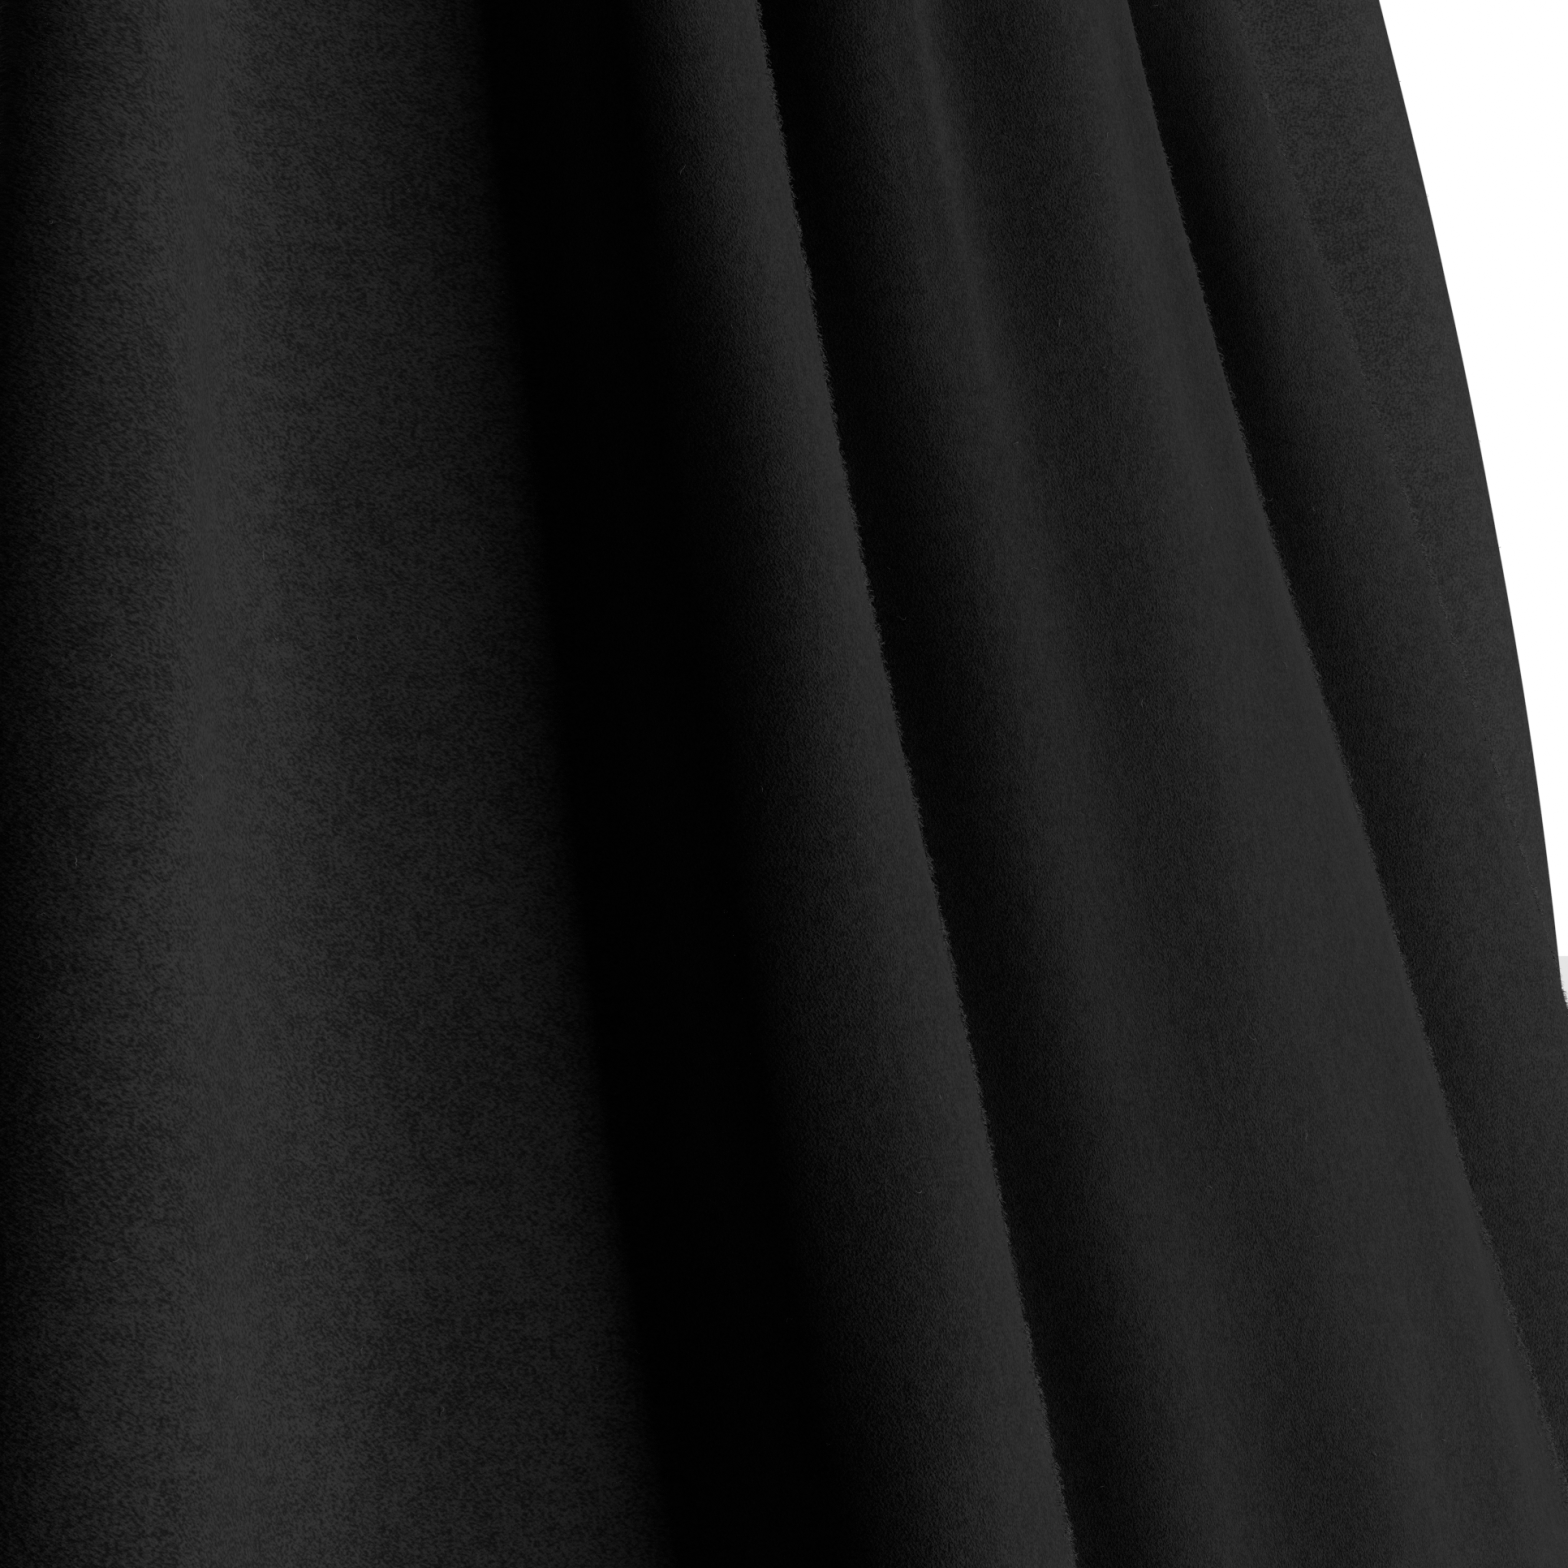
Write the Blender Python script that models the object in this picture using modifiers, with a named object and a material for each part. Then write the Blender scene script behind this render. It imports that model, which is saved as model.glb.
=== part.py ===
"""An A-line midi skirt in heavy brushed wool, as it hangs when worn: hollow, with its flare in folds.

Metres, +Z up. The origin is the middle of the waist, halfway up the waistband, and the front faces -Y.
An angle round the skirt is 0 at the front, +90 at +X (the wearer's left) and 180 at the centre back.
A drop is a depth below the origin. The cloth's columns run once round from the centre back, its rows down.
"""

from collections import namedtuple

import bmesh
import bpy
import numpy as np
from mathutils import Matrix

# Cloth
WALL = 0.002
SEAM_GAP = 0.0003
SKIRT_LENGTH = 0.76
COLUMNS_A_FOLD = 12
ROW_LENGTHS = (0.0, 0.035, 0.07, 0.11, 0.155, 0.21, 0.28, 0.36, 0.45, 0.55, 0.655, SKIRT_LENGTH)
RING_STEP = 0.01
STEPS_A_COLUMN = 20
STEPS_ROUND = 1440

# Waistband
BAND_HEIGHT = 0.035
BAND_DROP = BAND_HEIGHT / 2

# Concealed zip at the centre back
ZIP_LENGTH = ROW_LENGTHS[4]
TAPE_WIDTH = 0.0135
TAPE_WALL = 0.001
TAPE_CLEARANCE = 0.0006
COIL_WIDTH = 0.0026
COIL_FOOT = 0.0031
COIL_WALL = 0.0022
LOOP_WIRE = 0.001
BAND_OPENING = LOOP_WIRE + 2 * SEAM_GAP
SLIDER_SIZE = (0.007, 0.0025, 0.008)
SLIDER_ROUNDING = 0.0006
PIN_HEIGHT = 0.010
PIN_OFF_BAND = 0.0012
LOOP_RADIUS = 0.00155
PULL_THICKNESS = 0.001
PULL_TOP_WIDTH = 0.0044
PULL_END_RADIUS = 0.0030
PULL_LENGTH = 0.019
PULL_WINDOW = (0.0019, 0.0021)
PULL_CORNER = 0.0007
PULL_ROUNDING = 0.0002
SHARP_ANGLE = np.radians(50)
WELD = 0.00001

# The line through the valleys at each drop: its half sizes, and how far the folds turn to each side
Section = namedtuple("Section", "drop half_width front_depth back_depth swing_degrees")
SECTIONS = (
    Section(0.0175, 0.128, 0.105, 0.106, 0),
    Section(0.06, 0.142, 0.115, 0.124, 7),
    Section(0.12, 0.157, 0.127, 0.141, 23),
    Section(0.20, 0.172, 0.140, 0.155, 42),
    Section(0.40, 0.208, 0.172, 0.184, 65),
    Section(0.60, 0.252, 0.212, 0.222, 71),
    Section(0.80, 0.298, 0.256, 0.264, 74),
)

# Each fold runs from its own valley to the next row's. Drift is how fast the valley moves round on its
# way down, swing scales the fold's turn, lean tips its crest sideways, and lift raises its valley.
# Advance and pinch shift the turns along the cloth, and gain is how fast the swing grows on its way down.
# Drift and gain are zero at DRIFT_DROP and die away DRIFT_REACH from it. Lift is reached where the folds
# turn by LIFT_SWING degrees.
Fold = namedtuple(
    "Fold", "valley_degrees drift_degrees_a_metre swing lean lift advance pinch gain", defaults=(0, 0, 0)
)
FOLDS = (
    Fold(-180, 0, 0.90, 0.00, 0.000),
    Fold(-157, -6, 1.02, -0.10, 0.004),
    Fold(-134, 0, 0.90, 0.00, 0.008),
    Fold(-120, 8, 1.00, 0.10, 0.000),
    Fold(-98, 0, 0.98, 0.00, 0.003),
    Fold(-72, -8, 0.95, -0.10, 0.000),
    Fold(-57, -10, 1.03, -0.10, 0.006),
    Fold(-33, -4, 0.90, 0.05, 0.000),
    Fold(-16.7, -10.9, 1.18, -0.02, -0.001, 0.013, 0.114, -1.4),
    Fold(22.5, 10.9, 1.08, 0.29, -0.001, 0.106, -0.138, -1.0),
    Fold(36.5, 26.3, 0.63, 0.32, -0.007, 0.109, -0.265, -1.2),
    Fold(54.7, 17.0, 0.77, 0.70, 0.012, -0.273, -0.236, -0.1),
    Fold(66.1, 46.0, 0.93, 0.26, -0.008, 0.039, -0.016, -2.0),
    Fold(83.0, 110.0, 0.94, 0.60, -0.001, 0.094, -0.064, 1.3),
    Fold(108, 40, 1.00, 0.00, 0.005),
    Fold(130, 5, 1.02, -0.10, 0.000),
    Fold(155, 4, 0.92, 0.05, 0.004),
)
DRIFT_DROP = 0.52
DRIFT_REACH = 0.2
LIFT_SWING = 70

# Side seams, each down one flank of a fold: its row in FOLDS and the column within it
RIGHT_SEAM = 4 * COLUMNS_A_FOLD + 3
LEFT_SEAM = 13 * COLUMNS_A_FOLD + 9


def section_at(drop):
    """Half width, front depth, back depth and swing at a drop, on smooth curves through SECTIONS."""
    table = np.array(SECTIONS, float)
    drops, values = table[:, 0], table[:, 1:]
    slopes = np.gradient(values, drops, axis=0)
    i = int(np.clip(np.searchsorted(drops, drop) - 1, 0, len(drops) - 2))
    span = drops[i + 1] - drops[i]
    t = (drop - drops[i]) / span
    ends = (2 * t**3 - 3 * t**2 + 1) * values[i] + (3 * t**2 - 2 * t**3) * values[i + 1]
    bends = (t**3 - 2 * t**2 + t) * slopes[i] + (t**3 - t**2) * slopes[i + 1]
    return ends + span * bends


def fold_shape(swing, advance, pinch):
    """One fold from valley to valley, as shares of its width: across and up at each column.

    Its direction swings as the sine of the length along it, the curve that a bent strip takes. The
    advance moves its crest back along the cloth, and the pinch sharpens its crest and widens its valleys.
    """
    steps = STEPS_A_COLUMN * COLUMNS_A_FOLD
    share = (np.arange(steps) + 0.5) / steps
    phase = share + advance * np.sin(np.pi * share) ** 2 - pinch * np.sin(2 * np.pi * share)
    direction = swing * np.sin(2 * np.pi * phase)
    across = np.append(0, np.cumsum(np.cos(direction)))
    up = np.append(0, np.cumsum(np.sin(direction)))
    across, up = across / across[-1], up / across[-1]
    up -= up[-1] * across**2 * (3 - 2 * across)
    return across[::STEPS_A_COLUMN], up[::STEPS_A_COLUMN]


def read_along(places, run, values):
    """Rows of values, known at the lengths in run, read at other lengths."""
    return np.column_stack([np.interp(places, run, column) for column in values.T])


def ring(drop):
    """One level turn of the cloth's middle, from the centre back round to the same point again."""
    half_width, front, back, swing_degrees = section_at(drop)
    angles = np.linspace(-np.pi, np.pi, STEPS_ROUND + 1)
    depths = np.where(np.cos(angles) > 0, front, back)
    base = np.column_stack([half_width * np.sin(angles), -depths * np.cos(angles)])
    run = np.append(0, np.cumsum(np.linalg.norm(np.diff(base, axis=0), axis=1)))
    tangents = np.gradient(base, run, axis=0)
    tangents /= np.linalg.norm(tangents, axis=1)[:, None]
    shift = DRIFT_REACH * np.tanh((drop - DRIFT_DROP) / DRIFT_REACH)
    valleys = [f.valley_degrees + f.drift_degrees_a_metre * shift for f in FOLDS]
    starts = np.interp(np.radians(valleys + [180]), angles, run)
    turns = []
    for fold, after, start, end in zip(FOLDS, FOLDS[1:] + FOLDS[:1], starts, starts[1:]):
        swing = np.radians(swing_degrees) * (fold.swing + fold.gain * shift)
        across, up = fold_shape(swing, fold.advance, fold.pinch)
        height = up * (end - start)
        ease = across**2 * (3 - 2 * across)
        lift = (fold.lift + (after.lift - fold.lift) * ease) * swing_degrees / LIFT_SWING
        place = start + across * (end - start) + fold.lean * height
        point, tangent = read_along(place, run, base), read_along(place, run, tangents)
        outward = np.column_stack([tangent[:, 1], -tangent[:, 0]])
        turns.append((point + outward * (height + lift)[:, None])[:-1])
    level = np.concatenate(turns + [turns[0][:1]])
    return np.column_stack([level, np.full(len(level), -drop)])


def outward_normals(points):
    """Unit normals of a grid of rows and columns whose last column is its first again."""
    round_it = np.roll(points[:, :-1], -1, axis=1) - np.roll(points[:, :-1], 1, axis=1)
    round_it = np.concatenate([round_it, round_it[:, :1]], axis=1)
    down = np.gradient(points, axis=0)
    normals = np.cross(down, round_it)
    return normals / np.linalg.norm(normals, axis=2)[:, :, None]


def draped_cloth():
    """The whole skirt's middle surface: close rings, then each column read at equal lengths of cloth."""
    drops = np.arange(BAND_DROP + SEAM_GAP, BAND_DROP + SKIRT_LENGTH + RING_STEP, RING_STEP)
    rings = np.stack([ring(drop) for drop in drops])
    steps = np.linalg.norm(np.diff(rings, axis=0), axis=2)
    down = np.vstack([np.zeros(steps.shape[1]), np.cumsum(steps, axis=0)])
    columns = [read_along(ROW_LENGTHS, run, column) for run, column in zip(down.T, rings.swapaxes(0, 1))]
    return np.stack(columns, axis=1)


def parted(points, gap):
    """A panel's points with its first and last columns drawn in by half the gap of a seam."""
    points = points.copy()
    for edge, inner in ((0, 1), (-1, -2)):
        inward = points[:, inner] - points[:, edge]
        points[:, edge] += inward * (gap / 2) / np.linalg.norm(inward, axis=1)[:, None]
    return points


def black_material(name, shade, roughness, metallic=0.0):
    material = bpy.data.materials.new(name)
    material.use_nodes = True
    shader = material.node_tree.nodes["Principled BSDF"]
    shader.inputs["Base Color"].default_value = (shade, shade, shade, 1)
    shader.inputs["Roughness"].default_value = roughness
    shader.inputs["Metallic"].default_value = metallic
    return material


def add_object(name, mesh, material):
    mesh.shade_smooth()
    mesh.set_sharp_from_angle(angle=SHARP_ANGLE)
    mesh.materials.append(material)
    made = bpy.data.objects.new(name, mesh)
    skirt_parts.objects.link(made)
    return made


def add_wall(name, outer, inner, material):
    """A closed wall between an outer and an inner grid of points, joined all round their edges."""
    bm = bmesh.new()
    rim = []
    for points in (outer, inner):
        rows, columns = points.shape[:2]
        made = bmesh.ops.create_grid(bm, x_segments=columns - 1, y_segments=rows - 1, size=1)["verts"]
        for vertex, point in zip(made, points.reshape(-1, 3)):
            vertex.co = point
        rim += [edge for edge in {e for v in made for e in v.link_edges} if edge.is_boundary]
    bmesh.ops.bridge_loops(bm, edges=rim)
    bmesh.ops.recalc_face_normals(bm, faces=bm.faces)
    if bm.calc_volume(signed=True) < 0:
        bmesh.ops.reverse_faces(bm, faces=bm.faces)
    mesh = bpy.data.meshes.new(name)
    bm.to_mesh(mesh)
    bm.free()
    return add_object(name, mesh, material)


def add_cloth(name, points, normals, gap, material):
    points = parted(points, gap)
    return add_wall(name, points + normals * WALL / 2, points - normals * WALL / 2, material)


def add_tape(name, points, normals, material):
    """Half a zip, lying on the inside of one edge of the opening: its coil, then its woven tape.

    The points run away from the centre back. Each row is read at lengths along itself, two of them at
    the panel's own columns, so that the tape bends where the panel does.
    """
    walls = np.array([COIL_WALL, COIL_WALL, COIL_WALL, TAPE_WALL, TAPE_WALL, TAPE_WALL, TAPE_WALL])
    outer = []
    inner = []
    for row, row_normals in zip(points, normals):
        along = np.append(0, np.cumsum(np.linalg.norm(np.diff(row, axis=0), axis=1)))
        lengths = (SEAM_GAP / 2, COIL_WIDTH / 2, COIL_WIDTH, COIL_FOOT, along[1], along[2], TAPE_WIDTH)
        facing = read_along(lengths, along, row_normals)
        outer.append(read_along(lengths, along, row) - facing * (WALL / 2 + TAPE_CLEARANCE))
        inner.append(outer[-1] - facing * walls[:, None])
    return add_wall(name, np.stack(outer), np.stack(inner), material)


def mesh_of_curve(name, splines, closed, dimensions, bevel=0.0, extrude=0.0):
    """A curve through straight stretches of points, as a welded mesh."""
    curve = bpy.data.curves.new(name, "CURVE")
    curve.dimensions = dimensions
    curve.fill_mode = "BOTH" if dimensions == "2D" else "FULL"
    curve.use_fill_caps = True
    curve.bevel_depth = bevel
    curve.bevel_resolution = 2
    curve.extrude = extrude
    for points in splines:
        spline = curve.splines.new("POLY")
        spline.use_cyclic_u = closed
        spline.points.add(len(points) - 1)
        for slot, point in zip(spline.points, points):
            slot.co = (*point, 1)
    holder = bpy.data.objects.new(name, curve)
    skirt_parts.objects.link(holder)
    graph = bpy.context.evaluated_depsgraph_get()
    mesh = bpy.data.meshes.new_from_object(holder.evaluated_get(graph))
    bpy.data.objects.remove(holder)
    bpy.data.curves.remove(curve)
    bm = bmesh.new()
    bm.from_mesh(mesh)
    bmesh.ops.remove_doubles(bm, verts=bm.verts, dist=WELD)
    bm.to_mesh(mesh)
    bm.free()
    return mesh


def arc(centre, radius, first, last, steps):
    angles = np.radians(np.linspace(first, last, steps))
    return [(centre[0] + radius * np.cos(a), centre[1] + radius * np.sin(a)) for a in angles]


def add_slider(band_back, material):
    """The slider's body inside the band, and its wire loop out through the opening round the pin."""
    body_back = band_back - WALL / 2 - SEAM_GAP
    bm = bmesh.new()
    bmesh.ops.create_cube(bm, size=1)
    bmesh.ops.scale(bm, vec=SLIDER_SIZE, verts=bm.verts)
    bmesh.ops.translate(bm, vec=(0, body_back - SLIDER_SIZE[1] / 2, PIN_HEIGHT), verts=bm.verts)
    bmesh.ops.bevel(
        bm, geom=bm.edges[:], offset=SLIDER_ROUNDING, segments=2, profile=0.5, affect="EDGES"
    )
    body_mesh = bpy.data.meshes.new("zip_slider")
    bm.to_mesh(body_mesh)
    bm.free()
    slider = add_object("zip_slider", body_mesh, material)

    pin_back = band_back + WALL / 2 + PIN_OFF_BAND
    root = body_back - SLIDER_SIZE[1] / 2
    bend = arc((pin_back, PIN_HEIGHT), LOOP_RADIUS, -90, 90, 13)
    route = [(root, PIN_HEIGHT - LOOP_RADIUS)] + bend + [(root, PIN_HEIGHT + LOOP_RADIUS)]
    wire = mesh_of_curve("zip_loop", [[(0, y, z) for y, z in route]], False, "3D", bevel=LOOP_WIRE / 2)
    loop = bpy.data.objects.new("zip_loop", wire)
    loop.hide_render = True
    loop.display_type = "WIRE"
    cutters.objects.link(loop)
    union = slider.modifiers.new("loop", "BOOLEAN")
    union.operation = "UNION"
    union.object = loop
    return pin_back


def add_pull(pin_back, material):
    """The tear-shaped tab: its top bar is the pin, inside the loop, and its window goes round the wire."""
    half = PULL_TOP_WIDTH / 2
    bar = PULL_THICKNESS / 2
    bottom = (0, -(PULL_LENGTH - PULL_END_RADIUS))
    corner = (half - PULL_CORNER, bar - PULL_CORNER)
    outline = arc(corner, PULL_CORNER, 0, 90, 4)
    outline += arc((-corner[0], corner[1]), PULL_CORNER, 90, 180, 4)
    outline += arc(bottom, PULL_END_RADIUS, 180, 360, 17)
    width, height = PULL_WINDOW
    window = [
        (-width / 2, -bar),
        (width / 2, -bar),
        (width / 2, -bar - height),
        (-width / 2, -bar - height),
    ]
    flat = [[(x, y, 0) for x, y in points] for points in (outline, window)]
    mesh = mesh_of_curve("zip_pull", flat, True, "2D", extrude=PULL_THICKNESS / 2)
    mesh.transform(Matrix.Rotation(np.radians(90), 4, "X"))
    pull = add_object("zip_pull", mesh, material)
    pull.location = (0, pin_back, PIN_HEIGHT)
    edges = pull.modifiers.new("edges", "BEVEL")
    edges.width = PULL_ROUNDING
    edges.segments = 2
    edges.limit_method = "ANGLE"
    edges.angle_limit = SHARP_ANGLE


for old in list(bpy.data.objects):
    bpy.data.objects.remove(old)
skirt_parts = bpy.data.collections.new("a_line_midi_skirt")
cutters = bpy.data.collections.new("cutters")
bpy.context.scene.collection.children.link(skirt_parts)
bpy.context.scene.collection.children.link(cutters)

wool = black_material("brushed wool", 0.02, 0.95)
zip_nylon = black_material("zip nylon", 0.012, 0.6)
zip_enamel = black_material("zip enamel", 0.01, 0.35, 0.3)

# The wall's top edge is cut level, to lie along the band
skirt = draped_cloth()
skirt_normals = outward_normals(skirt)
skirt_normals[0, :, 2] = 0
skirt_normals[0] /= np.linalg.norm(skirt_normals[0], axis=1)[:, None]
panels = {
    "skirt_back_right": slice(0, RIGHT_SEAM + 1),
    "skirt_front": slice(RIGHT_SEAM, LEFT_SEAM + 1),
    "skirt_back_left": slice(LEFT_SEAM, None),
}
for panel, columns in panels.items():
    add_cloth(panel, skirt[:, columns], skirt_normals[:, columns], SEAM_GAP, wool)

band_level = ring(BAND_DROP)
band = np.stack([band_level * (1, 1, 0) + (0, 0, height) for height in (BAND_DROP, -BAND_DROP)])
band_normals = outward_normals(band)
add_cloth("waistband", band, band_normals, BAND_OPENING, wool)

# The tapes run up inside the band as far as the slider, and down to the opening's foot
tape_top = band_level * (1, 1, 0) + (0, 0, PIN_HEIGHT - SLIDER_SIZE[2] / 2 - SEAM_GAP)
zip_rows = ROW_LENGTHS.index(ZIP_LENGTH) + 1
tape = np.concatenate([tape_top[None], band[1:], skirt[:zip_rows]])
tape_normals = np.concatenate([band_normals, skirt_normals[:zip_rows]])
add_tape("zip_tape_right", tape, tape_normals, zip_nylon)
add_tape("zip_tape_left", tape[:, ::-1], tape_normals[:, ::-1], zip_nylon)
pin = add_slider(band_level[0, 1], zip_enamel)
add_pull(pin, zip_enamel)
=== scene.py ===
"""A black brushed-wool A-line midi skirt, hanging in folds as it does when worn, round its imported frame.

Metres, +Z up. The origin is the middle of the waist, halfway up the waistband, and the front faces -Y.
A drop is a depth below the origin. Columns of cloth run once round from the centre back, rows run down.
"""

import bpy
import numpy as np
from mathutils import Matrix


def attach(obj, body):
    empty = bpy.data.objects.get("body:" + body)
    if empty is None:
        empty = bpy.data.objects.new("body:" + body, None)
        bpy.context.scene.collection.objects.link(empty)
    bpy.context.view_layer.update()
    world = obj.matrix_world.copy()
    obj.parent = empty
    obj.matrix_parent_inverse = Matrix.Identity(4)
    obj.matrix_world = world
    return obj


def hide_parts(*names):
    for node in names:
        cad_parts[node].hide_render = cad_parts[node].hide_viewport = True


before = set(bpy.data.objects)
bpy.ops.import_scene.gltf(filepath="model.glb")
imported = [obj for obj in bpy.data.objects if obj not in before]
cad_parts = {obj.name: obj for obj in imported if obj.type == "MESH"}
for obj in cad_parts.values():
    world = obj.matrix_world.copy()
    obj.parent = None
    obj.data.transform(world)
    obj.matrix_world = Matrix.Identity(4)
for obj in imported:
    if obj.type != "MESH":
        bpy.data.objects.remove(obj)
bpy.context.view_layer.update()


# The hang of the cloth
# Three flared panels hang from a straight band, so their extra width falls in folds that deepen
# towards the hem. Each row of FOLDS is one fold, and SECTIONS is the line through the valleys.
WALL = 0.002
SEAM_PRESS = 0.00003
SKIRT_LENGTH = 0.76
BAND_HEIGHT = 0.035
BAND_DROP = BAND_HEIGHT / 2
COLUMNS_A_FOLD = 40
STEPS_A_COLUMN = 6
STEPS_ROUND = 2160
RING_STEP = 0.004
COARSE_ROW_STEP = SKIRT_LENGTH / 64
FINE_ROWS = (0.35, 0.68, 0.005)
ROW_CLEARANCE = 0.003
DRIFT_DROP = 0.52
DRIFT_REACH = 0.2
LIFT_SWING = 70

# Drop, half width, front depth, back depth, and the degrees that the folds turn to each side
SECTIONS = np.array(
    [
        (0.0175, 0.128, 0.105, 0.106, 0),
        (0.06, 0.142, 0.115, 0.124, 7),
        (0.12, 0.157, 0.127, 0.141, 23),
        (0.20, 0.172, 0.140, 0.155, 42),
        (0.40, 0.208, 0.172, 0.184, 65),
        (0.60, 0.252, 0.212, 0.222, 71),
        (0.80, 0.298, 0.256, 0.264, 74),
    ]
)

# Where each fold's valley is in degrees, its drift in degrees a metre, its swing, lean and lift, and then
# its advance, pinch and gain. The six rows that have these last three came from a least-squares fit to
# the photo's shading and contours. The others were given one by one.
FOLDS = np.array(
    [
        (-180, 0, 0.90, 0.00, 0.000, 0, 0, 0),
        (-157, -6, 1.02, -0.10, 0.004, 0, 0, 0),
        (-134, 0, 0.90, 0.00, 0.008, 0, 0, 0),
        (-120, 8, 1.00, 0.10, 0.000, 0, 0, 0),
        (-98, 0, 0.98, 0.00, 0.003, 0, 0, 0),
        (-72, -8, 0.95, -0.10, 0.000, 0, 0, 0),
        (-57, -10, 1.03, -0.10, 0.006, 0, 0, 0),
        (-33, -4, 0.90, 0.05, 0.000, 0, 0, 0),
        (-16.7, -10.9, 1.18, -0.02, -0.001, 0.013, 0.114, -1.4),
        (22.5, 10.9, 1.08, 0.29, -0.001, 0.106, -0.138, -1.0),
        (36.5, 26.3, 0.63, 0.32, -0.007, 0.109, -0.265, -1.2),
        (54.7, 17.0, 0.77, 0.70, 0.012, -0.273, -0.236, -0.1),
        (66.1, 46.0, 0.93, 0.26, -0.008, 0.039, -0.016, -2.0),
        (83.0, 110.0, 0.94, 0.60, -0.001, 0.094, -0.064, 1.3),
        (108, 40, 1.00, 0.00, 0.005, 0, 0, 0),
        (130, 5, 1.02, -0.10, 0.000, 0, 0, 0),
        (155, 4, 0.92, 0.05, 0.004, 0, 0, 0),
    ]
)
RIGHT_SEAM = int(4.25 * COLUMNS_A_FOLD)
LEFT_SEAM = int(13.75 * COLUMNS_A_FOLD)


def run_along(line):
    """The length of a line of points up to each of them."""
    return np.append(0, np.cumsum(np.linalg.norm(np.diff(line, axis=0), axis=1)))


def section_at(drop):
    """Half width, front depth, back depth and swing at a drop: cubic Hermite curves through SECTIONS."""
    drops, values = SECTIONS[:, 0], SECTIONS[:, 1:]
    slopes = np.gradient(values, drops, axis=0)
    i = int(np.clip(np.searchsorted(drops, drop) - 1, 0, len(drops) - 2))
    span = drops[i + 1] - drops[i]
    t = (drop - drops[i]) / span
    ends = (2 * t**3 - 3 * t**2 + 1) * values[i] + (3 * t**2 - 2 * t**3) * values[i + 1]
    bends = (t**3 - 2 * t**2 + t) * slopes[i] + (t**3 - t**2) * slopes[i + 1]
    return ends + span * bends


def ring(drop):
    """One level turn of the cloth's middle, from the centre back round to the same point again.

    The valleys lie on a front and a back half ellipse. From valley to valley the cloth's direction
    swings as swing * sin(2 pi p), as a bent strip's does, with p = s + advance sin^2(pi s) - pinch
    sin(2 pi s) and s the share of the cloth's length.
    """
    half_width, front, back, swing_degrees = section_at(drop)
    valleys, drift, swing, lean, lift, advance, pinch, gain = FOLDS.T
    shift = DRIFT_REACH * np.tanh((drop - DRIFT_DROP) / DRIFT_REACH)
    swing = swing + gain * shift
    angles = np.linspace(-np.pi, np.pi, STEPS_ROUND + 1)
    depths = np.where(np.cos(angles) > 0, front, back)
    base = np.column_stack([half_width * np.sin(angles), -depths * np.cos(angles)])
    run = run_along(base)
    tangents = np.gradient(base, run, axis=0)
    tangents /= np.linalg.norm(tangents, axis=1)[:, None]
    starts = np.interp(np.radians(valleys + drift * shift), angles, run)
    widths = np.diff(np.append(starts, run[-1]))[:, None]

    steps = STEPS_A_COLUMN * COLUMNS_A_FOLD
    share = (np.arange(steps) + 0.5) / steps
    phase = share + advance[:, None] * np.sin(np.pi * share) ** 2
    phase = phase - pinch[:, None] * np.sin(2 * np.pi * share)
    direction = np.radians(swing_degrees) * swing[:, None] * np.sin(2 * np.pi * phase)
    across = np.cumsum(np.pad(np.cos(direction), ((0, 0), (1, 0))), axis=1)
    up = np.cumsum(np.pad(np.sin(direction), ((0, 0), (1, 0))), axis=1)
    across, up = across / across[:, -1:], up / across[:, -1:]
    up -= up[:, -1:] * across**2 * (3 - 2 * across)
    across, up = across[:, :-1:STEPS_A_COLUMN], up[:, :-1:STEPS_A_COLUMN]

    height = up * widths
    ease = across**2 * (3 - 2 * across)
    rise = lift[:, None] + (np.roll(lift, -1) - lift)[:, None] * ease
    height = height + rise * swing_degrees / LIFT_SWING
    place = (starts[:, None] + across * widths + lean[:, None] * up * widths).ravel()
    x, y = (np.interp(place, run, line) for line in base.T)
    along_x, along_y = (np.interp(place, run, line) for line in tangents.T)
    level = np.column_stack([x + along_y * height.ravel(), y - along_x * height.ravel()])
    level = np.vstack([level, level[:1]])
    return np.column_stack([level, np.full(len(level), -drop)])


def outward_normals(points):
    """Unit normals of a grid of rows and columns whose last column is its first again."""
    round_it = np.roll(points[:, :-1], -1, axis=1) - np.roll(points[:, :-1], 1, axis=1)
    round_it = np.concatenate([round_it, round_it[:, :1]], axis=1)
    normals = np.cross(np.gradient(points, axis=0), round_it)
    return normals / np.linalg.norm(normals, axis=2, keepdims=True)


def read_rows(rings, lengths):
    """Each column of close rings, read at the same lengths of cloth from its top."""
    steps = np.linalg.norm(np.diff(rings, axis=0), axis=2)
    run = np.concatenate([np.zeros((1, steps.shape[1])), np.cumsum(steps, axis=0)])
    row = np.clip((run[None] <= lengths[:, None, None]).sum(axis=1) - 1, 0, len(run) - 2)
    before, after = (np.take_along_axis(run, row + k, axis=0) for k in (0, 1))
    share = ((lengths[:, None] - before) / (after - before))[:, :, None]
    low, high = (np.take_along_axis(rings, row[:, :, None] + k, axis=0) for k in (0, 1))
    return low + (high - low) * share


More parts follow.
